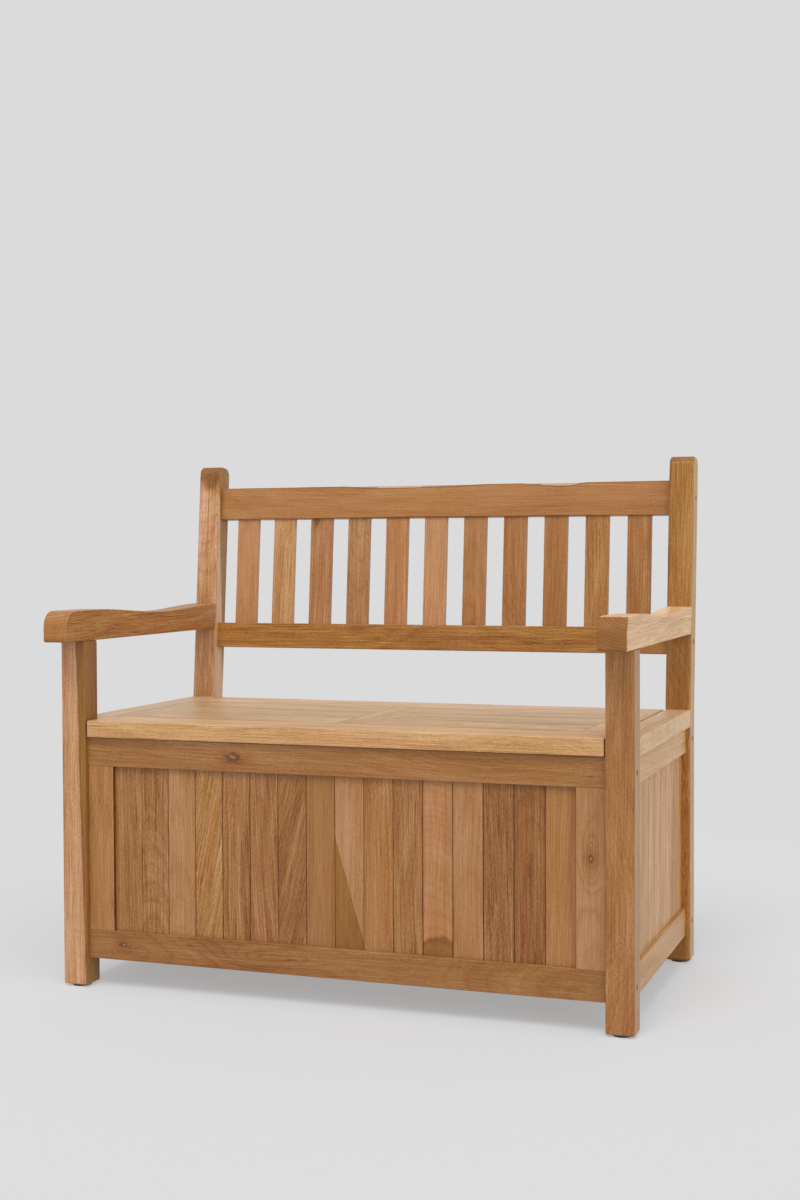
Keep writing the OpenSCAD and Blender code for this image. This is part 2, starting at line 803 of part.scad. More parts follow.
// Lid slats 1 to 3 lie in the left bay from the front, 4 to 6 in the right one.
module lid_slat(i) {
    side = i > bay_slats ? 1 : -1;
    row = (i - 1) % bay_slats;
    mid = seat_h - lid_slat_t / 2;
    y0 = bay_y0 + row * bay_pitch + lid_slat_gap / 2;
    y1 = bay_y0 + (row + 1) * bay_pitch - lid_slat_gap / 2;
    color(teak_light) seated() on_side(side) union() {
        block([lid_mid_w / 2 + fit, y0, seat_h - lid_slat_t], [lid_half - lid_end_w - fit, y1, seat_h]);
        block([lid_mid_w / 2 - lid_tongue_l, y0, mid - lid_tongue_t / 2],
              [lid_half - lid_end_w + lid_tongue_l, y1, mid + lid_tongue_t / 2]);
    }
}

// ---- lid hinges ----

// The knuckles of one hinge that belong to one leaf: odd places fixed, even places on the lid.
function knuckle_x(i) = -hinge_w / 2 + i * (knuckle_l + knuckle_gap);
fixed_places = [for (i = [0:2:knuckles - 1]) i];
lid_places = [for (i = [1:2:knuckles - 1]) i];

// One leaf in its own frame, flat on the plane z = -knuckle_dia / 2 and reaching along +Y.
module leaf(places) {
    notch = knuckle_dia / 2 + knuckle_gap;
    low = -knuckle_dia / 2;
    difference() {
        union() {
            for (x = [for (i = places) knuckle_x(i)]) {
                round_bar(x, x + knuckle_l, knuckle_dia);
                block([x, 0, low], [x + knuckle_l, notch + over, low + leaf_t]);
            }
            block([-hinge_w / 2, notch, low], [hinge_w / 2, leaf_w, low + leaf_t]);
        }
        round_bar(-hinge_w, hinge_w, pin_dia + 2 * run_fit);
        leaf_screws(run_fit);
    }
}

// The three screws of one leaf, in the leaf's own frame.
module leaf_screws(grow = 0) {
    y = (knuckle_dia / 2 + knuckle_gap + leaf_w) / 2;
    for (x = [-screw_spread, 0, screw_spread])
        translate([x, y, leaf_t - knuckle_dia / 2]) wood_screw(screw_l, grow);
}

// Moves children to each hinge's pin.
module at_hinges() {
    for (x = hinge_x) translate([x, pin_y, pin_z]) children();
}

module hinge_fixed_screw_set(grow = 0) {
    at_hinges() leaf_screws(grow);
}

module hinge_lid_screw_set(grow = 0) {
    at_hinges() rotate([-90, 0, 0]) leaf_screws(grow);
}

module hinge_fixed_leaves() {
    color(brass_tone) seated() at_hinges() leaf(fixed_places);
}

// The lid's leaves hang down the lid's rear face, turned a quarter from the fixed ones.
module hinge_lid_leaves() {
    color(brass_tone) seated() at_hinges() rotate([-90, 0, 0]) leaf(lid_places);
}

module hinge_pins() {
    reach = hinge_w / 2 + pin_proud;
    color(brass_tone) seated() at_hinges() round_bar(-reach, reach, pin_dia);
}

module hinge_fixed_screws() {
    color(brass_tone) seated() hinge_fixed_screw_set();
}

module hinge_lid_screws() {
    color(brass_tone) seated() hinge_lid_screw_set();
}

// ---- bolts, nuts and glides ----

module frame_bolts() {
    color(steel_tone) seated() both_sides() for (point = bolt_points) at_bolt(point) frame_bolt();
}

module barrel_nuts() {
    color(steel_tone) seated() both_sides() for (point = bolt_points) at_bolt(point) barrel_nut();
}

module foot_glides() {
    color(glide_tone) seated() both_sides() for (y = [front_leg_d / 2, rear_y + rear_leg_d / 2])
        translate([half_w - leg_w / 2, y, 0]) {
            cylinder(h = glide_h, d = glide_dia, $fn = round_fn);
            cylinder(h = glide_h + glide_pin_l, d = glide_pin_dia, $fn = round_fn);
        }
}

front_leg(-1);  // front_leg_left
front_leg(1);  // front_leg_right
rear_leg(-1);  // rear_leg_left
rear_leg(1);  // rear_leg_right
armrest(-1);  // armrest_left
armrest(1);  // armrest_right
back_top_rail();
back_lower_rail();
for (i = [1:slat_count]) back_slat(i);
front_top_rail();
front_bottom_rail();
front_stile(-1);  // front_stile_left
front_stile(1);  // front_stile_right
front_boards();
side_rail(-1, top_rail_z, side_top_h);  // side_top_rail_left
side_rail(1, top_rail_z, side_top_h);  // side_top_rail_right
side_rail(-1, bottom_rail_z, bottom_rail_h);  // side_bottom_rail_left
side_rail(1, bottom_rail_z, bottom_rail_h);  // side_bottom_rail_right
side_boards(-1);  // side_boards_left
side_boards(1);  // side_boards_right
rear_top_rail();
rear_bottom_rail();
rear_boards();
seat_strip(-1);  // seat_strip_left
seat_strip(1);  // seat_strip_right
floor_ledger(front_ledger_y, front_screw_y, -1);  // floor_ledger_front
floor_ledger(rear_ledger_y, rear_screw_y, 1);  // floor_ledger_rear
floor_slats();
ledger_screws();
lid_front_rail();
lid_rear_rail();
lid_end_rail(-1);  // lid_end_rail_left
lid_end_rail(1);  // lid_end_rail_right
lid_mid_rail();
for (i = [1:2 * bay_slats]) lid_slat(i);
hinge_fixed_leaves();
hinge_lid_leaves();
hinge_pins();
hinge_fixed_screws();
hinge_lid_screws();
frame_bolts();
barrel_nuts();
foot_glides();
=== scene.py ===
import json
import math
import random

import bmesh
import bpy
from mathutils import Matrix, Vector
from mathutils.bvhtree import BVHTree


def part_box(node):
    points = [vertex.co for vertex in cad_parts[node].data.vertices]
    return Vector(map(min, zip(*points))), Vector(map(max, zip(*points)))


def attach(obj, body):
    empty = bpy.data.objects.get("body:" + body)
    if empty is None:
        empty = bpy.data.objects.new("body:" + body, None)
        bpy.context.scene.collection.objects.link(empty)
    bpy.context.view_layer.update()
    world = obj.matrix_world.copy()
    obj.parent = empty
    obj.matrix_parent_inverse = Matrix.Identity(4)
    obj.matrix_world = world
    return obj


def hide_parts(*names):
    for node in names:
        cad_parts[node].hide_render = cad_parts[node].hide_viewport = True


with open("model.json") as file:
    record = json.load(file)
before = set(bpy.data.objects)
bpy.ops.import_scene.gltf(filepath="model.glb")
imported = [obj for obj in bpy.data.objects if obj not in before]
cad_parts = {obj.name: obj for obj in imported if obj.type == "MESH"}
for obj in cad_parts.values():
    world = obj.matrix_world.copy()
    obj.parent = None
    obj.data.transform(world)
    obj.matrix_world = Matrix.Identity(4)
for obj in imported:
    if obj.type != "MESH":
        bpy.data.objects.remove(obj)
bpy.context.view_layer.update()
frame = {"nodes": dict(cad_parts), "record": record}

# Garden storage bench in teak: eased timbers, boards sawn from one kind of log, brass hinges,
# steel frame bolts and dark foot glides, in metres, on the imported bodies.

MM = 0.001
ACROSS = Vector((1, 0, 0))
DEEP = Vector((0, 1, 0))
UP = Vector((0, 0, 1))

BODY_OF = {node: body
           for body, nodes in frame["record"]["behaviour"]["bodies"].items() for node in nodes}


# ---- working on pieces ----

def only(piece):
    """Leaves the piece selected and active, and nothing else."""
    bpy.ops.object.select_all(action="DESELECT")
    piece.select_set(True)
    bpy.context.view_layer.objects.active = piece


def apply(piece, kind, **settings):
    """Adds a modifier to the piece and applies it."""
    only(piece)
    modifier = piece.modifiers.new(kind.lower(), kind)
    for name, value in settings.items():
        setattr(modifier, name, value)
    bpy.ops.object.modifier_apply(modifier=modifier.name)


def keep(piece, node, material):
    """Seats a finished piece on its CAD body, in place of its node."""
    piece.data.materials.clear()
    piece.data.materials.append(material)
    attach(piece, BODY_OF[node])
    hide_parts(node)


# Points closer together than this are one point, and faces that turn less than this are one face.
WELD = 0.01 * MM
FLAT = math.radians(0.5)


def merged_copy(node, name):
    """A new piece in the node's own shape, its loose triangles joined and its flat faces made whole."""
    piece = bpy.data.objects.new(name, frame["nodes"][node].data.copy())
    bpy.context.scene.collection.objects.link(piece)
    only(piece)
    bpy.ops.object.mode_set(mode="EDIT")
    bpy.ops.mesh.select_all(action="SELECT")
    bpy.ops.mesh.customdata_custom_splitnormals_clear()
    bpy.ops.mesh.remove_doubles(threshold=WELD)
    bpy.ops.mesh.dissolve_limited(angle_limit=FLAT)
    bpy.ops.object.mode_set(mode="OBJECT")
    return piece


# An arris is an edge whose faces turn by at least this much. What lies before it is felt for from just
# off its own faces.
SHARP = math.radians(30)
SKIN = 0.2 * MM
# An edge runs along the grain when the cosine between them is at least this.
ALONG_GRAIN = 0.7


def stands_free(tree, middle, out, other):
    """Whether nothing of the same piece faces this side of an edge, as the far wall of a mortise would."""
    start = middle + out * SKIN - other * SKIN
    return tree.ray_cast(start, out)[0] is None


def outer_arrises(mesh, grain, least, ends, front):
    """The edges that a hand would ease: those along the grain that stand free, and the ends' too if asked.

    Where front is given, the piece is a panel that faces that way, and the seams between its boards are
    eased as well.
    """
    tree = BVHTree.FromBMesh(mesh)
    surface = max(vertex.co.dot(front) for vertex in mesh.verts) - SKIN if front else None
    chosen = []
    for edge in mesh.edges:
        if len(edge.link_faces) != 2 or edge.calc_face_angle_signed(0) < SHARP:
            continue
        start, end = (vertex.co for vertex in edge.verts)
        along = (end - start).normalized()
        if not ends and (abs(along.dot(grain)) < ALONG_GRAIN or edge.calc_length() < least):
            continue
        one, two = (face.normal for face in edge.link_faces)
        middle = (start + end) / 2
        at_seam = front is not None and middle.dot(front) > surface
        if at_seam or (stands_free(tree, middle, one, two) and stands_free(tree, middle, two, one)):
            chosen.append(edge)
    return chosen


def ease(piece, radius, grain, least, ends, segments, front):
    """Rounds the piece's free arrises, and shades its broad faces flat."""
    only(piece)
    bpy.ops.object.mode_set(mode="EDIT")
    bpy.ops.mesh.select_mode(type="EDGE")
    bpy.ops.mesh.select_all(action="DESELECT")
    mesh = bmesh.from_edit_mesh(piece.data)
    mesh.normal_update()
    for edge in outer_arrises(mesh, grain, least, ends, front):
        edge.select_set(True)
    bmesh.update_edit_mesh(piece.data)
    bpy.ops.mesh.bevel(offset=radius, segments=segments, affect="EDGES", clamp_overlap=False)
    bpy.ops.object.mode_set(mode="OBJECT")
    shade(piece)


# Edges that turn by more than this stay crisp.
CRISP = math.radians(50)


def shade(piece):
    """Smooths the roundings and keeps the broad faces and the corners crisp."""
    only(piece)
    bpy.ops.object.shade_smooth_by_angle(angle=CRISP)
    apply(piece, "WEIGHTED_NORMAL", keep_sharp=True, weight=80)


# ---- timber: where each piece lay in its log ----

def colour(red, green, blue):
    """A colour as it is seen, from 0 to 255, in the linear numbers that a shader takes."""
    seen = [part / 255 for part in (red, green, blue)]
    return tuple(part / 12.92 if part <= 0.04045 else ((part + 0.055) / 1.055) ** 2.4 for part in seen)


# How much light the gloss of a planed surface adds to each part of its colour.
GLOSS = 0.027


def planed(red, green, blue):
    """The wood colour that looks like this once its planed surface adds its own gloss."""
    return tuple(max(part - GLOSS, 0.01) for part in colour(red, green, blue))


TONES = {
    "umber": planed(143, 95, 57),
    "brown": planed(150, 104, 63),
    "nut": planed(158, 111, 69),
    "amber": planed(163, 114, 70),
    "golden": planed(166, 118, 74),
    "rose": planed(168, 121, 80),
    "honey": planed(168, 121, 73),
    "salmon": planed(176, 125, 83),
    "blush": planed(183, 134, 94),
    "petal": planed(189, 142, 102),
    "cream": planed(190, 145, 101),
    "wheat": planed(194, 158, 114),
    "straw": planed(208, 166, 119),
    "ivory": planed(216, 177, 132),
    "olive": planed(162, 114, 62),
    "ochre": planed(168, 117, 66),
    "russet": planed(171, 121, 76),
    "oat": planed(188, 140, 86),
    "sand": planed(198, 149, 94),
    "flax": planed(204, 158, 108),
    "butter": planed(216, 172, 123),
}
# The darker wood of a sapwood board, a cut end, and a knot's ring and middle.
HEARTWOOD = planed(142, 98, 52) + (1,)
CROSS_CUT = planed(143, 98, 58) + (1,)
KNOT = planed(104, 72, 46) + (1,)
KNOT_HEART = planed(186, 140, 100) + (1,)

# How a timber was cut: the pith's distance to the side of its middle and behind it, in metres, and how
# far the timber drifts sideways and outwards in the log over a metre of its length.
CUTS = {
    "quarter": ((0.17, 0.03), (0.01, 0.0)),
    "rift": ((0.10, 0.07), (-0.015, 0.02)),
    "flat": ((0.008, 0.075), (0.0, 0.045)),
    "arched": ((-0.006, 0.055), (0.0, 0.11)),
    "leaning": ((0.15, 0.05), (0.13, 0.0)),
    "fanned": ((-0.15, 0.04), (-0.22, 0.03)),
}
# Where a knot or an eye is kept for a board that has none.
FAR_OFF = Vector((9, 9, 9))


class Look:
    """How one timber or board looks: its tone and cut, and what grew in it.

    lively is how much its grain shows, and sap is 1 where it holds sapwood. knot is a knot's place along
    and across it, as shares of its length and width, and the knot's size. eye is the same for a closed
    figure in the grain, and how slim it is. end is how far its ends take on the colour of cut ends.
    seam is painted shade on its eased edges and in the grooves between its boards, and the same
    turned to a painted highlight on the slopes of a waney edge. painted_side_shade is painted shade on
    its sides, set by how the light falls on them. Below nought, painted shade is a painted highlight and
    a painted highlight is painted shade. pith and drift, where given, stand in for its cut's.
    """

    def __init__(self, tone, cut, lively=0.8, sap=0.0, knot=None, eye=None, end=0.35, pith=None, drift=None,
                 seam=0.0, painted_side_shade=0.0):
        self.tone = TONES[tone]
        self.pith = pith or CUTS[cut][0]
        self.drift = drift or CUTS[cut][1]
        self.lively = lively
        self.sap = sap
        # A knot is written as an eye is, as slim one way as the other.
        self.knot = knot and knot + (1.0,)
        self.eye = eye
        self.end = end
        self.seam = seam
        self.painted_side_shade = painted_side_shade
        # The fibres lean as the board drifts, but run straight up a board whose sapwood ends aslant.
        self.lean = 0.0 if sap else self.drift[0]


def loose_parts(mesh):
    """The mesh's separate solids, each a list of vertex numbers, in order along X, then Y, then Z."""
    owner = list(range(len(mesh.vertices)))

    def root(number):
        while owner[number] != number:
            owner[number] = owner[owner[number]]
            number = owner[number]
        return number

    for edge in mesh.edges:
        one, two = (root(number) for number in edge.vertices)
        owner[one] = two
    parts = {}
    for number in range(len(mesh.vertices)):
        parts.setdefault(root(number), []).append(number)

    def place(part):
        spots = [mesh.vertices[number].co for number in part]
        return [round(min(spot[axis] for spot in spots), 4) for axis in range(3)]

    return sorted(parts.values(), key=place)


def write(mesh, name, kind, domain, values):
    """Keeps one value for each point or face of the mesh under a name that the materials read."""
    attribute = mesh.attributes.new(name, kind, domain)
    channel = {"FLOAT": "value", "FLOAT_VECTOR": "vector", "FLOAT_COLOR": "color"}[kind]
    flat = values if kind == "FLOAT" else [part for value in values for part in value]
    attribute.data.foreach_set(channel, flat)


def corners(spots):
    """The lowest and highest corner of some points."""
    return tuple(Vector(tuple(pick(spot[axis] for spot in spots) for axis in range(3)))
                 for pick in (min, max))


def grown_at(feature, spot, low, high):
    """A point's way from a knot or an eye in its board, in the feature's own size."""
    if feature is None:
        return FAR_OFF
    along, across, size, slim = feature
    middle = Vector((low.x + (high.x - low.x) * across, high.y, low.z + (high.z - low.z) * along))
    way = (spot - middle) / size
    return Vector((way.x, way.y, way.z / slim))


# The width under which a face is no more than the rounding of an arris.
ARRIS_WIDTH = 2.5 * MM


def narrow(mesh, polygon):
    """Whether a face is as slim as the rounding of an arris."""
    spots = [mesh.vertices[number].co for number in polygon.vertices]
    longest = max((one - two).length for one, two in zip(spots, spots[1:] + spots[:1]))
    return polygon.area < ARRIS_WIDTH * longest


# Cosines of a face's own turn: at least this much along the grain on a cut end, at least this much
# sideways on a side, and between these two from the board's face on a rounding or a waney slope.
END_TURN = 0.25
SIDE_TURN = 0.9
ROUNDED = (0.25, 0.97)


def mark_faces(mesh, grain, face, width, owner):
    """Writes how far each face takes on the colour of cut ends, and its painted shade or highlight."""
    cross_cut, eased = [], []
    for polygon in mesh.polygons:
        look, out = owner[polygon.vertices[0]], polygon.normal
        at_end = abs(out.dot(grain)) > END_TURN
        cross_cut.append(look.end if at_end else 0.0)
        # Painted shade for the sides, and for narrow roundings such as the grooves between boards; the same
        # turned to a painted highlight on wider slopes such as a wane's, and wherever the value is below
        # nought.
        if abs(out.dot(width)) > SIDE_TURN:
            eased.append(look.painted_side_shade)
        elif ROUNDED[0] < out.dot(face) < ROUNDED[1] and not at_end:
            eased.append(look.seam if narrow(mesh, polygon) else -look.seam)
        else:
            eased.append(0.0)
    write(mesh, "end_grain", "FLOAT", "FACE", cross_cut)
    write(mesh, "seam", "FLOAT", "FACE", eased)


# How far a board strays from its cut's place in the log, how long a log is, and by how much the boards
# of one tone differ.
STRAY = 8 * MM
LOG_LENGTH = 7
TONE_SPREAD = 0.02


def saw(piece, grain, face, looks, seed):
    """Writes each board's place in its log, the lay of its grain and what grew in it into the piece."""
    mesh = piece.data
    width = grain.cross(face)
    draw = random.Random(seed)
    count = len(mesh.vertices)
    log, lay, knot, eye, tone, lively, owner = ([None] * count for _ in range(7))
    for index, part in enumerate(loose_parts(mesh)):
        look = looks[index % len(looks)]
        aside, behind = look.pith
        spots = [mesh.vertices[number].co for number in part]
        local = [Vector((spot.dot(width), spot.dot(face), spot.dot(grain))) for spot in spots]
        low, high = corners(local)
        stray = 0 if look.sap else STRAY
        jitter = Vector((draw.uniform(-stray, stray), draw.uniform(-stray, stray),
                         draw.uniform(0, LOG_LENGTH)))
        strength = draw.uniform(1 - TONE_SPREAD, 1 + TONE_SPREAD)
        for number, spot in zip(part, local):
            x, y, z = spot - (low + high) / 2
            log[number] = Vector((x - aside + look.drift[0] * z, y + behind + look.drift[1] * z, z)) + jitter
            lay[number] = Vector((x - aside + look.lean * z, y + behind, z)) + jitter
            knot[number] = grown_at(look.knot, spot, low, high)
            eye[number] = grown_at(look.eye, spot, low, high)
            tone[number] = [part_of * strength for part_of in look.tone] + [look.sap]
            lively[number] = look.lively
            owner[number] = look
    write(mesh, "log", "FLOAT_VECTOR", "POINT", log)
    write(mesh, "lay", "FLOAT_VECTOR", "POINT", lay)
    write(mesh, "lively", "FLOAT", "POINT", lively)
    write(mesh, "knot", "FLOAT_VECTOR", "POINT", knot)
    write(mesh, "eye", "FLOAT_VECTOR", "POINT", eye)
    write(mesh, "tone", "FLOAT_COLOR", "POINT", tone)
    mark_faces(mesh, grain, face, width, owner)


# ---- materials ----

WHITE = (1, 1, 1, 1)
BLACK = (0, 0, 0, 1)


class Finish:
    """A material whose nodes are wired by value: each call adds a node and gives its output."""

    def __init__(self, name, roughness, metallic=0.0):
        self.material = bpy.data.materials.new(name)
        self.material.use_nodes = True
        self.tree = self.material.node_tree
        self.shader = self.tree.nodes["Principled BSDF"]
        self.shader.inputs["Roughness"].default_value = roughness
        self.shader.inputs["Metallic"].default_value = metallic

    def node(self, kind, inputs=(), **settings):
        """A node with its inputs linked, or set where they are plain values."""
        made = self.tree.nodes.new(kind)
        for name, value in settings.items():
            setattr(made, name, value)
        for socket, value in inputs:
            if isinstance(value, bpy.types.NodeSocket):
                self.tree.links.new(value, made.inputs[socket])
            else:
                made.inputs[socket].default_value = value
        return made

    def math(self, operation, *values):
        return self.node("ShaderNodeMath", enumerate(values), operation=operation).outputs[0]

    def plus(self, one, other):
        return self.math("ADD", one, other)

    def times(self, one, other):
        return self.math("MULTIPLY", one, other)

    def total(self, start, parts):
        for part in parts:
            start = self.plus(start, part)
        return start

    def vector(self, operation, *values):
        made = self.node("ShaderNodeVectorMath", enumerate(values), operation=operation)
        return made.outputs["Value" if operation == "LENGTH" else "Vector"]

    def stretch(self, at, by):
        return self.vector("MULTIPLY", at, by)

    def swell(self, way, reach, height):
        """A smooth hump of the given height around a way of nought."""
        fall = self.math("POWER", self.math("DIVIDE", way, reach), 2.0)
        return self.times(self.math("EXPONENT", self.times(fall, -1.0)), height)

    def noise(self, at, scale, detail, output="Fac"):
        inputs = [("Vector", at), ("Scale", scale), ("Detail", detail)]
        return self.node("ShaderNodeTexNoise", inputs).outputs[output]

    def drawn(self, at, squeeze, scale, detail, output="Fac"):
        """Noise in streaks along the grain: the smaller the squeeze, the longer they are."""
        return self.noise(self.stretch(at, (1, 1, squeeze)), scale, detail, output)

    def range(self, value, low, high, to_low=0.0, to_high=1.0, smooth=False):
        """The value with low and high, and all between them, moved to to_low and to_high."""
        inputs = [("Value", value), ("From Min", low), ("From Max", high),
                  ("To Min", to_low), ("To Max", to_high)]
        kind = "SMOOTHSTEP" if smooth else "LINEAR"
        return self.node("ShaderNodeMapRange", inputs, interpolation_type=kind, clamp=True).outputs[0]

    def swing(self, noise, depth, low=0.25, high=0.75):
        """Noise as a change that swings as far below nought as above it."""
        return self.range(noise, low, high, -depth, depth)

    def blend(self, factor, one, two, kind="MIX"):
        """One colour turned into the other by the factor. A Mix node's colours are sockets 6 and 7."""
        inputs = ((0, factor), (6, one), (7, two))
        return self.node("ShaderNodeMix", inputs, data_type="RGBA", blend_type=kind).outputs[2]

    def ramp(self, value, stops):
        """The value read off a curve of places and levels."""
        made = self.node("ShaderNodeValToRGB", [("Fac", value)])
        points = made.color_ramp.elements
        while len(points) < len(stops):
            points.new(1.0)
        for point, (place, level) in zip(points, stops):
            point.position = place
            point.color = (level, level, level, 1)
        return made.outputs["Color"]

    def attribute(self, name, output):
        return self.node("ShaderNodeAttribute", attribute_name=name).outputs[output]

    def place(self):
        return self.node("ShaderNodeTexCoord").outputs["Object"]

    def relief(self, height, distance):
        made = self.node("ShaderNodeBump", [("Height", height), ("Distance", distance), ("Strength", 1.0)])
        self.use("Normal", made.outputs[0])

    def use(self, socket, value):
        self.tree.links.new(value, self.shader.inputs[socket])


# How many rings the log grew to the metre, where they are widest and where they are closest, and how
# light a ring is from its start to its end: late wood is dark, and early wood pale.
RINGS = (150, 230)
RING_LIGHT = [(0.0, 0.0), (0.10, 0.6), (0.25, 1.0), (0.7, 0.85), (0.9, 0.5), (1.0, 0.0)]
# How far from the pith the heartwood reaches, how softly it ends, and half the width of its dark rim.
HEART = 118.5 * MM
HEART_BLUR = 1.5 * MM
HEART_RIM = 2 * MM


def teak():
    """Planed teak: growth rings, bands, streaks, fibre and pores, sapwood, knots and end grain."""
    wood = Finish("teak", roughness=0.5)
    wood.shader.inputs["Sheen Weight"].default_value = 0.05
    wood.shader.inputs["Sheen Roughness"].default_value = 0.4
    log = wood.attribute("log", "Vector")
    lay = wood.attribute("lay", "Vector")
    seam = wood.attribute("seam", "Fac")
    lively = wood.attribute("lively", "Fac")
    tone = wood.attribute("tone", "Color")
    sap = wood.attribute("tone", "Alpha")
    end = wood.attribute("end_grain", "Fac")
    knot = wood.attribute("knot", "Vector")
    eye = wood.attribute("eye", "Vector")

    # The trunk's slow bends, then the rings' own waver.
    bent = log
    for scale, detail, reach in ((5, 2, 20 * MM), (24, 1, 2.4 * MM)):
        turns = wood.drawn(log, squeeze=0.25, scale=scale, detail=detail, output="Color")
        waver = wood.vector("SUBTRACT", turns, (0.5, 0.5, 0.5))
        bent = wood.vector("ADD", bent, wood.stretch(waver, (reach, reach, 0)))
    fibres = wood.vector("ADD", lay, wood.vector("SUBTRACT", bent, log))

    # A knot and an eye push the grain around them aside.
    ragged = wood.times(wood.math("SUBTRACT", wood.noise(log, scale=160, detail=3), 0.5), 11 * MM)
    knot_way = wood.plus(wood.vector("LENGTH", wood.stretch(knot, (1, 0.3, 0.6))), ragged)
    eye_way = wood.vector("LENGTH", wood.stretch(eye, (1, 0.2, 1)))
    lift = wood.plus(wood.swell(knot_way, reach=13 * MM, height=16 * MM),
                     wood.swell(eye_way, reach=13 * MM, height=20 * MM))

    # The growth rings round the pith, and bands of about three of them.
    field = wood.plus(wood.vector("LENGTH", wood.stretch(bent, (1, 1, 0))), lift)
    spacing = wood.range(wood.noise(log, scale=3, detail=0), 0.3, 0.7, *RINGS)
    phase = wood.times(field, spacing)
    profile = wood.ramp(wood.math("FRACT", phase), RING_LIGHT)
    threes = wood.node("ShaderNodeCombineXYZ", [("X", wood.times(phase, 0.33))]).outputs[0]
    band = wood.noise(threes, scale=1.0, detail=3)

    # What runs along the fibres, from broad drifts to single fibres, pores and rays.
    drift = wood.drawn(fibres, squeeze=0.09, scale=30, detail=2)
    streak = wood.drawn(fibres, squeeze=0.005, scale=300, detail=3)
    fibre = wood.drawn(fibres, squeeze=0.010, scale=950, detail=3)
    fleck = wood.drawn(fibres, squeeze=0.28, scale=760, detail=2)
    blotch = wood.drawn(lay, squeeze=0.4, scale=18, detail=3)
    pores = wood.range(wood.drawn(fibres, squeeze=0.03, scale=700, detail=1), 0.60, 0.68)
    ray = wood.range(wood.drawn(fibres, squeeze=0.02, scale=520, detail=2), 0.62, 0.72)

    # How light each spot is, from 0 at the darkest line to 1 at the palest wood. A cut end shows its
    # rings and hides what runs along the fibres.
    along = wood.times(lively, wood.math("SUBTRACT", 1.0, wood.times(end, 0.9)))
    figure = wood.plus(lively, wood.swell(eye_way, reach=28 * MM, height=1.1))
    light = wood.total(0.5, (
        wood.times(wood.range(profile, 0, 1, -0.10, 0.03), figure),
        wood.times(wood.swing(band, 0.14), lively),
        wood.swing(drift, 0.08),
        wood.swing(blotch, 0.05, 0.3, 0.7),
        wood.times(wood.swing(streak, 0.13), along),
        wood.times(wood.swing(fibre, 0.29), along),
        wood.times(wood.swing(fleck, 0.19), along),
        wood.times(wood.times(pores, -0.17), along),
        wood.times(wood.times(ray, 0.12), along),
        wood.times(end, wood.range(profile, 0, 1, -0.14, 0.06))))

    # Heartwood and sapwood: inside a distance from the pith the wood is darker and browner.
    edge = wood.plus(field, wood.swing(blotch, 2 * MM, 0.3, 0.7))
    heart = wood.times(wood.range(edge, HEART - HEART_BLUR, HEART + HEART_BLUR, 1, 0), sap)
    rim = wood.times(wood.range(edge, HEART - HEART_RIM, HEART),
                     wood.range(edge, HEART, HEART + HEART_RIM, 1, 0))
    light = wood.plus(light, wood.times(wood.times(rim, sap), -0.26))
    ground = wood.blend(end, wood.blend(heart, tone, HEARTWOOD), CROSS_CUT)

    # Some of the wood runs yellower and some pinker.
    hue = wood.drawn(log, squeeze=0.14, scale=24, detail=2)
    yellow = wood.blend(wood.range(hue, 0.5, 0.72), WHITE, (1.0, 1.0, 0.90, 1))
    pink = wood.blend(wood.range(hue, 0.5, 0.28), WHITE, (1.04, 0.98, 1.04, 1))
    ground = wood.blend(1.0, wood.blend(1.0, ground, yellow, "MULTIPLY"), pink, "MULTIPLY")

    # The knot: a halo, a dark ragged ring and a paler middle.
    halo = wood.range(knot_way, 24 * MM, 5 * MM, smooth=True)
    core = wood.times(wood.range(knot_way, 7.5 * MM, 4.5 * MM, smooth=True), 0.85)
    middle = wood.times(wood.range(knot_way, 2.8 * MM, 1.2 * MM, smooth=True), 0.5)
    light = wood.plus(light, wood.times(halo, -0.16))
    # Painted shade on sides, eased edges and the grooves between boards, and painted highlight where the
    # value is below nought.
    light = wood.math("SUBTRACT", light, seam)

    # What is darker is browner too, more so in brown wood than in pale.
    depth = wood.range(light, -0.3, 1, 0.12, 1.55)
    paleness = wood.node("ShaderNodeSeparateColor", [("Color", tone)]).outputs["Blue"]
    green = wood.math("POWER", depth, wood.range(paleness, 0.03, 0.2, 1.9, 1.6))
    blue = wood.math("POWER", depth, wood.range(paleness, 0.03, 0.2, 4.0, 2.3))
    level = wood.node("ShaderNodeCombineColor", [("Red", depth), ("Green", green), ("Blue", blue)]).outputs[0]
    planks = wood.blend(1.0, ground, level, "MULTIPLY")
    wood.use("Base Color", wood.blend(middle, wood.blend(core, planks, KNOT), KNOT_HEART))

    # The pores are fine grooves, the fibres stand a little proud, and a cut end is duller.
    wood.use("Roughness", wood.plus(wood.range(fibre, 0.3, 0.7, 0.33, 0.46), wood.times(end, 0.3)))
    height = wood.math("SUBTRACT", wood.times(fibre, 0.5), pores)
    wood.relief(wood.math("SUBTRACT", height, core), 0.10 * MM)
    return wood.material


def metal(name, tint, roughness, streak):
    """A metal with faint drawn streaks and a little tarnish, which dulls it."""
    finish = Finish(name, roughness, metallic=1.0)
    place = finish.place()
    streaks = finish.noise(finish.stretch(place, streak), scale=900, detail=2)
    tarnish = finish.noise(place, scale=140, detail=3)
    shine = finish.plus(finish.swing(streaks, 0.08, 0.3, 0.7), finish.range(tarnish, 0.35, 0.7, 0.1, -0.18))
    grey = finish.blend(finish.plus(shine, 0.92), BLACK, WHITE)
    finish.use("Base Color", finish.blend(1.0, tint + (1,), grey, "MULTIPLY"))
    finish.use("Roughness", finish.range(tarnish, 0.3, 0.75, roughness - 0.06, roughness + 0.2))
    return finish.material


GLIDE_BLACK = colour(40, 36, 32) + (1,)
GLIDE_SCUFFED = colour(74, 68, 62) + (1,)


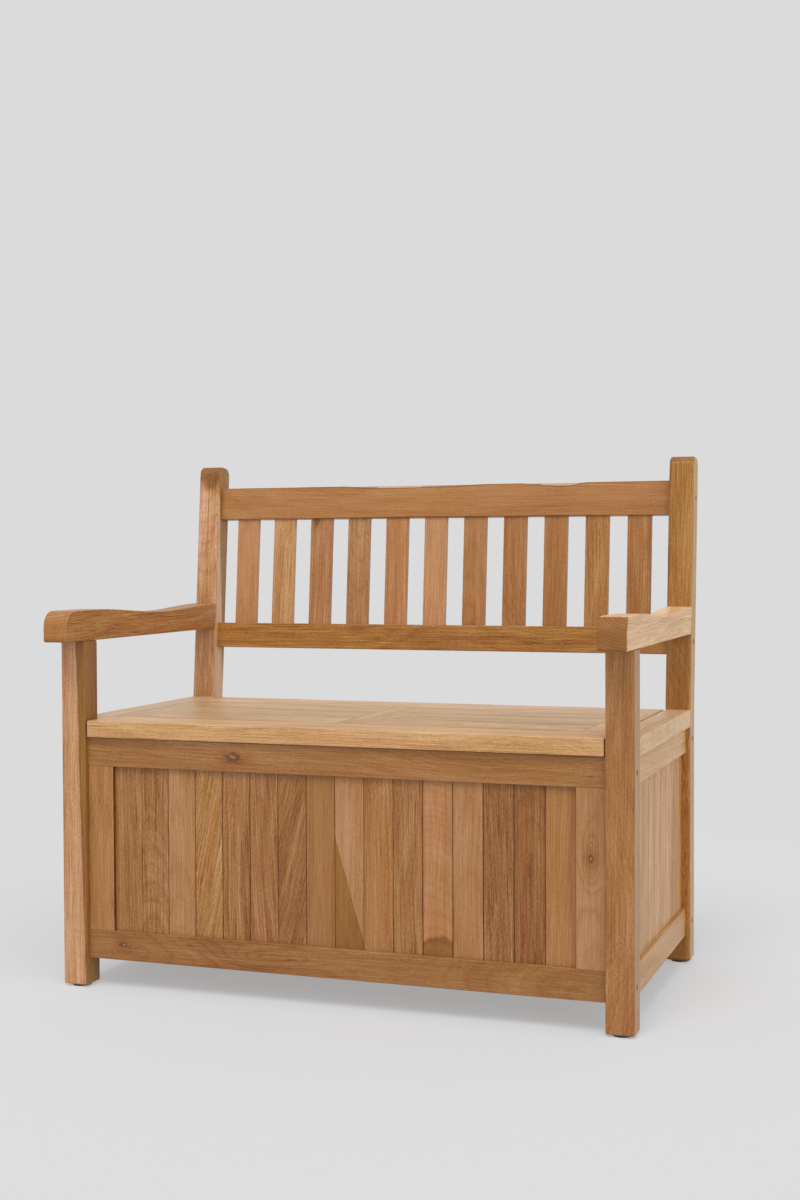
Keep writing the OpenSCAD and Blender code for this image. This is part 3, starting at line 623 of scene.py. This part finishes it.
def moulded_plastic():
    """Matte black plastic with a fine moulded grain and paler scuffs."""
    finish = Finish("glide_plastic", roughness=0.5)
    place = finish.place()
    grain = finish.noise(place, scale=1400, detail=2)
    scuffs = finish.noise(place, scale=120, detail=3)
    finish.use("Base Color", finish.blend(finish.range(scuffs, 0.4, 0.8), GLIDE_BLACK, GLIDE_SCUFFED))
    finish.use("Roughness", finish.range(scuffs, 0.3, 0.8, 0.42, 0.62))
    finish.relief(grain, 0.05 * MM)
    return finish.material


TEAK = teak()
BRASS = metal("brass", colour(190, 150, 84), 0.32, (1, 0.05, 0.05))
STEEL = metal("steel", colour(150, 150, 150), 0.34, (0.05, 1, 1))
PLASTIC = moulded_plastic()


# ---- timbers ----

def lean_of(node):
    """The direction of a raked timber's longest edge, upwards."""
    mesh = frame["nodes"][node].data
    spans = [mesh.vertices[edge.vertices[0]].co - mesh.vertices[edge.vertices[1]].co for edge in mesh.edges]
    longest = max(spans, key=lambda span: abs(span.z) if abs(span.x) < MM else 0)
    return (longest if longest.z > 0 else -longest).normalized()


LEAN = lean_of("back_slat_6")
RAKED_FACE = ACROSS.cross(LEAN)
RAIL_LEAN = LEAN.y / LEAN.z
# Each timber takes the next seed for its place in the log, in the order in which they are made.
SEEDS = iter(range(1, 200))

# Where the back's top rail was sawn close to the bark: a dip's place along it, its reach to the left
# and to the right, and how deep it is.
WANE = ((-0.09, 0.10, 0.19, 5.0 * MM), (0.257, 0.085, 0.036, 6.5 * MM))
# The rail is cut in steps this long over the stretch that has both dips, the wane is this wide, and a
# dip shallower than the least is not made.
WANE_STEP = 10 * MM
WANE_STATIONS = [step * WANE_STEP for step in range(-20, 32)]
WANE_WIDTH = 9 * MM
LEAST_DIP = 0.1 * MM


def wane_depth(x):
    """How far the rail's front arris dips at this place along it."""
    deepest = 0.0
    for middle, left, right, depth in WANE:
        way = (x - middle) / (left if x < middle else right)
        deepest = max(deepest, depth * (1 - way * way))
    return deepest


def cut_wane(piece, arris):
    """Lets the front top arris dip in waves, as where the bark ran close to the board."""
    only(piece)
    bpy.ops.object.mode_set(mode="EDIT")
    cuts = [((x, 0, 0), ACROSS) for x in WANE_STATIONS] + [(arris - RAKED_FACE * WANE_WIDTH, RAKED_FACE)]
    for place, normal in cuts:
        bpy.ops.mesh.select_all(action="SELECT")
        bpy.ops.mesh.bisect(plane_co=place, plane_no=normal)
    for x in WANE_STATIONS:
        if wane_depth(x) < LEAST_DIP:
            continue
        bpy.ops.mesh.select_all(action="DESELECT")
        mesh = bmesh.from_edit_mesh(piece.data)
        spot = arris + Vector((x, 0, 0))
        min(mesh.verts, key=lambda vertex: (vertex.co - spot).length).select_set(True)
        bmesh.update_edit_mesh(piece.data)
        bpy.ops.transform.translate(value=-LEAN * wane_depth(x))
    bpy.ops.object.mode_set(mode="OBJECT")


# The shortest arris that is eased along the grain, and the same where a waney edge is cut in steps.
LEAST_ARRIS = 30 * MM
LEAST_WANEY_ARRIS = 5 * MM
# A rounding wider than this has three faces, and a finer one has two.
WIDE_ROUNDING = 3 * MM


def timber(node, grain, face, looks, radius=1.5 * MM, ends=False, wane=None, panel=False):
    """One wooden node as an eased piece of teak, or as a panel of boards with eased seams.

    face is the way that its best face looks. looks is one look, or a list for its boards in turn. wane is
    a point on the arris that dips where the bark ran close.
    """
    piece = merged_copy(node, f"{node}_teak")
    least = LEAST_ARRIS
    if wane is not None:
        cut_wane(piece, wane)
        least = LEAST_WANEY_ARRIS
    segments = 3 if radius > WIDE_ROUNDING else 2
    ease(piece, radius, grain, least, ends, segments, front=face if panel else None)
    saw(piece, grain, face, looks if isinstance(looks, list) else [looks], next(SEEDS))
    keep(piece, node, TEAK)


def legs():
    """The square front legs, and the rear legs with their rounded tops."""
    # Each leg's sides are painted paler than its front, a painted highlight where the light falls strongly on
    # them.
    timber("front_leg_left", UP, -DEEP,
           Look("petal", "flat", 0.75, sap=1.0, pith=(0.118, 0.035), drift=(0.02, 0.0), painted_side_shade=-0.04),
           2 * MM, ends=True)
    timber("front_leg_right", UP, -DEEP, Look("amber", "rift", 0.7, eye=(0.2, 0.55, 0.8, 2.2), painted_side_shade=-0.1),
           2 * MM, ends=True)
    timber("rear_leg_left", LEAN, RAKED_FACE,
           Look("petal", "flat", 0.85, sap=1.0, pith=(0.0, 0.1155), drift=(0, -0.1), end=1.0, painted_side_shade=-0.22),
           4.5 * MM, ends=True)
    timber("rear_leg_right", LEAN, RAKED_FACE,
           Look("olive", "rift", 0.9, knot=(0.795, -0.05, 0.9), end=0.9, painted_side_shade=-0.3),
           4.5 * MM, ends=True)


def armrests():
    """The two armrests, the left one browner and the right one paler."""
    timber("armrest_left", DEEP, ACROSS, Look("ochre", "quarter", 1.1, end=0.25), 2 * MM, ends=True)
    # The right armrest's top and underside are painted a little paler, a painted highlight.
    timber("armrest_right", DEEP, ACROSS,
           Look("butter", "quarter", 0.85, end=1.05, pith=(-0.055, -0.03), painted_side_shade=-0.05),
           2 * MM, ends=True)


def back():
    """The raked back: its two rails, the upper one with a waney edge, and the slats between them."""
    low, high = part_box("back_top_rail")
    arris = Vector((0, low.y + RAIL_LEAN * (high.z - low.z), high.z))
    # Its eased arrises are painted darker, partly painted shade and partly the bark's dark line along the
    # wane, and its waney slopes are painted paler, a painted highlight.
    timber("back_top_rail", ACROSS, RAKED_FACE, Look("russet", "rift", 0.5, seam=0.4), wane=arris)
    timber("back_lower_rail", ACROSS, RAKED_FACE, Look("olive", "quarter", 1.0))
    slats = [Look("blush", "quarter", 0.45), Look("cream", "rift", 0.7),
             Look("rose", "quarter", knot=(0.93, 0.3, 0.8)), Look("rose", "flat"),
             Look("salmon", "quarter", 0.65), Look("blush", "rift", 0.55),
             Look("golden", "arched", 0.6, knot=(0.03, 0.5, 0.6)), Look("amber", "quarter", 0.8),
             Look("amber", "rift", 0.6), Look("honey", "quarter", 0.85), Look("amber", "quarter", 0.85)]
    for number, look in enumerate(slats, 1):
        timber(f"back_slat_{number}", LEAN, RAKED_FACE, look, 1 * MM)


def box_frame():
    """The rails and stiles round the box's panels, and the fixed strips beside the lid."""
    timber("front_top_rail", ACROSS, -DEEP,
           Look("nut", "rift", 0.65, knot=(0.31, 0.5, 1.3), drift=(-0.03, 0.02)))
    timber("front_bottom_rail", ACROSS, -DEEP,
           Look("brown", "flat", 0.75, knot=(0.09, 0.45, 0.8), eye=(0.39, 0.5, 1.0, 6.0), drift=(0.01, 0.01)))
    # The left stile's sides are painted dark, a painted shadow on the step face beside the recessed boards,
    # and its eased edges are painted paler, a painted highlight.
    timber("front_stile_left", UP, -DEEP, Look("golden", "quarter", 0.6, seam=-0.1, painted_side_shade=0.62))
    timber("front_stile_right", UP, -DEEP,
           Look("rose", "flat", 0.45, knot=(0.6, 0.5, 0.7), eye=(0.6, 0.5, 0.9, 3.5)))
    for side, out in (("left", -ACROSS), ("right", ACROSS)):
        timber(f"side_top_rail_{side}", DEEP, out, Look("flax", "rift", 0.6))
        timber(f"side_bottom_rail_{side}", DEEP, out, Look("oat", "rift", 0.6))
        # The seat strips' sides are painted a little darker than their tops, painted shade.
        timber(f"seat_strip_{side}", DEEP, UP, Look("ivory", "quarter", 0.6, painted_side_shade=0.07))
    timber("rear_top_rail", ACROSS, DEEP, Look("golden", "flat"))
    timber("rear_bottom_rail", ACROSS, DEEP, Look("brown", "arched"))


def panels():
    """The boarded panels. Their looks run from left to right, or from the front to the rear at the sides."""
    # The grooves between the boards and their eased edges are painted darker, painted shade; where the value
    # is below nought, as on the first front board, they are painted paler, a painted highlight.
    front = [Look("nut", "quarter", 0.95, seam=-0.15), Look("nut", "arched", 1.2, seam=0.35),
             Look("rose", "flat", 0.55, seam=0.5), Look("honey", "fanned", 1.05, seam=0.7),
             Look("nut", "quarter", 1.1, seam=0.45), Look("nut", "rift", 1.0, drift=(0.06, 0.02), seam=0.3),
             Look("brown", "fanned", 1.0, pith=(-0.16, 0.05), seam=0.35), Look("nut", "rift", 0.5, seam=0.5),
             Look("rose", "flat", 0.55, sap=1.0, pith=(-0.131, 0.02), drift=(0.30, 0), seam=0.1),
             Look("amber", "quarter", 0.75, seam=0.1), Look("nut", "quarter", 0.95, seam=0.6),
             Look("salmon", "flat", 0.5, sap=1.0, pith=(0, 0.147), drift=(0, 0.3), seam=0.9),
             Look("rose", "flat", 0.5, seam=0.6), Look("brown", "quarter", 1.15, seam=0.75),
             Look("umber", "arched", 1.1, seam=0.8), Look("amber", "rift", 0.55, seam=0.3)]
    timber("front_boards", UP, -DEEP, front, 0.7 * MM, panel=True)
    mixed = [Look(tone, cut, 1.2, seam=0.35) for tone, cut in (
        ("sand", "quarter"), ("oat", "rift"), ("sand", "quarter"), ("oat", "quarter"), ("sand", "rift"),
        ("oat", "quarter"), ("oat", "rift"), ("oat", "rift"), ("oat", "quarter"))]
    timber("side_boards_left", UP, -ACROSS, mixed, 0.6 * MM, panel=True)
    timber("side_boards_right", UP, ACROSS, mixed[::-1], 0.6 * MM, panel=True)
    timber("rear_boards", UP, DEEP, [Look(tone, cut, seam=0.5) for tone, cut in (
        ("golden", "quarter"), ("rose", "flat"), ("nut", "rift"), ("honey", "quarter"), ("nut", "arched"),
        ("rose", "quarter"), ("brown", "leaning"), ("golden", "flat"))], 0.7 * MM, panel=True)


def box_floor():
    """The floor of the box: its slats, and the ledgers that carry them."""
    timber("floor_ledger_front", ACROSS, DEEP, Look("brown", "quarter"), 1 * MM)
    timber("floor_ledger_rear", ACROSS, -DEEP, Look("brown", "quarter"), 1 * MM)
    slats = [Look(tone, cut) for tone, cut in (("golden", "flat"), ("nut", "quarter"), ("rose", "rift"))]
    timber("floor_slats", DEEP, UP, slats, 1 * MM)


LID_SLATS = 6


def lid():
    """The seat lid: its frame, and the slats in its two bays."""
    # The front rail's front and back faces are painted a little darker than its top, painted shade.
    timber("lid_front_rail", ACROSS, UP,
           Look("straw", "rift", 0.6, pith=(0.12, 0.12), drift=(0.0, 0.0), painted_side_shade=0.1), ends=True)
    timber("lid_rear_rail", ACROSS, UP, Look("straw", "rift", 1.05), ends=True)
    timber("lid_end_rail_left", DEEP, UP, Look("wheat", "rift", 1.0), 1 * MM)
    timber("lid_end_rail_right", DEEP, UP, Look("straw", "quarter", 1.0), 1 * MM)
    timber("lid_mid_rail", DEEP, UP, Look("wheat", "quarter", 1.0), 1 * MM)
    for number in range(1, LID_SLATS + 1):
        cut = ("quarter", "flat", "rift")[number % 3]
        # The slats' eased edges are painted darker, painted shade in the grooves between them.
        timber(f"lid_slat_{number}", ACROSS, UP, Look("wheat", cut, 1.15, seam=0.4), 1 * MM)


# ---- hardware ----

def hardware():
    """The hinges, bolts, screws and foot glides, in their own shapes."""
    for node, material in (("hinge_fixed_leaves", BRASS), ("hinge_lid_leaves", BRASS), ("hinge_pins", BRASS),
                           ("hinge_fixed_screws", BRASS), ("hinge_lid_screws", BRASS),
                           ("ledger_screws", STEEL), ("frame_bolts", STEEL), ("barrel_nuts", STEEL),
                           ("foot_glides", PLASTIC)):
        mesh = frame["nodes"][node].data
        mesh.materials.clear()
        mesh.materials.append(material)


# ---- studio ----

BACKDROP = colour(219, 219, 219) + (1,)
FLOOR = colour(217, 219, 222) + (1,)
FLOOR_RADIUS = 30
# To the rays that see the backdrop, half of the floor's look is its own up to the first distance from its
# middle, and none of it from the second.
MELT_FROM = 0.8
MELT_TO = 2.0


def backdrop_rays(nodes, links):
    """One for the rays that see the backdrop as it is: the camera's, and those from gloss and glass."""
    path = nodes.new("ShaderNodeLightPath")
    seen = path.outputs["Is Camera Ray"]
    for name in ("Is Glossy Ray", "Is Transmission Ray"):
        either = nodes.new("ShaderNodeMath")
        either.operation = "MAXIMUM"
        links.new(seen, either.inputs[0])
        links.new(path.outputs[name], either.inputs[1])
        seen = either.outputs[0]
    return seen


def studio_floor():
    """A pale floor that keeps the bench's shadow and melts into the backdrop further out."""
    bpy.ops.mesh.primitive_circle_add(vertices=64, radius=FLOOR_RADIUS, fill_type="NGON")
    floor = bpy.context.object
    floor.name = "studio_floor"
    finish = Finish("studio_floor", roughness=0.9)
    finish.shader.inputs["Base Color"].default_value = FLOOR
    finish.shader.inputs["Specular IOR Level"].default_value = 0.0
    way_out = finish.range(finish.vector("LENGTH", finish.place()), MELT_FROM, MELT_TO, 0.5, 1.0, smooth=True)
    seen = backdrop_rays(finish.tree.nodes, finish.tree.links)
    glow = finish.node("ShaderNodeEmission", [("Color", BACKDROP), ("Strength", 1.0)]).outputs[0]
    mixed = finish.node("ShaderNodeMixShader", [
        (0, finish.times(way_out, seen)), (1, finish.shader.outputs[0]), (2, glow)])
    finish.tree.links.new(mixed.outputs[0], finish.tree.nodes["Material Output"].inputs["Surface"])
    floor.data.materials.append(finish.material)


def studio_world():
    """Soft light from all round, behind a plain backdrop."""
    world = bpy.data.worlds.new("studio")
    bpy.context.scene.world = world
    world.use_nodes = True
    nodes, links = world.node_tree.nodes, world.node_tree.links
    nodes.clear()
    seen = backdrop_rays(nodes, links)
    backdrop = nodes.new("ShaderNodeBackground")
    backdrop.inputs["Color"].default_value = BACKDROP
    light = nodes.new("ShaderNodeBackground")
    light.inputs["Color"].default_value = WHITE
    light.inputs["Strength"].default_value = 0.5
    mix = nodes.new("ShaderNodeMixShader")
    links.new(seen, mix.inputs[0])
    links.new(light.outputs[0], mix.inputs[1])
    links.new(backdrop.outputs[0], mix.inputs[2])
    output = nodes.new("ShaderNodeOutputWorld")
    links.new(mix.outputs[0], output.inputs["Surface"])


def soft_light(name, toward, strength, spread):
    """A broad light from far away, spread over so many degrees, that falls evenly on bench and floor."""
    lamp = bpy.data.lights.new(name, "SUN")
    lamp.energy = strength
    lamp.angle = math.radians(spread)
    holder = bpy.data.objects.new(name, lamp)
    holder.rotation_euler = Vector(toward).to_track_quat("-Z", "Y").to_euler()
    bpy.context.scene.collection.objects.link(holder)


def camera():
    """The bench seen from its front right, from a little above its armrests."""
    lens = bpy.data.cameras.new("camera")
    lens.lens, lens.sensor_width = 49.72, 36
    holder = bpy.data.objects.new("camera", lens)
    turn, dip, roll = math.radians(19.61), math.radians(1.62), math.radians(-0.23)
    holder.matrix_world = (Matrix.Translation((1.010, -2.758, 0.748)) @ Matrix.Rotation(turn, 4, "Z")
                           @ Matrix.Rotation(math.pi / 2 - dip, 4, "X") @ Matrix.Rotation(roll, 4, "Z"))
    bpy.context.scene.collection.objects.link(holder)
    bpy.context.scene.camera = holder


camera()
legs()
armrests()
back()
box_frame()
panels()
box_floor()
lid()
hardware()
studio_floor()
studio_world()
soft_light("key", (0.0, 0.52, -0.85), 1.50, 30)
soft_light("fill", (-0.70, 0.52, -0.44), 1.17, 60)
bpy.context.scene.view_settings.view_transform = "Standard"
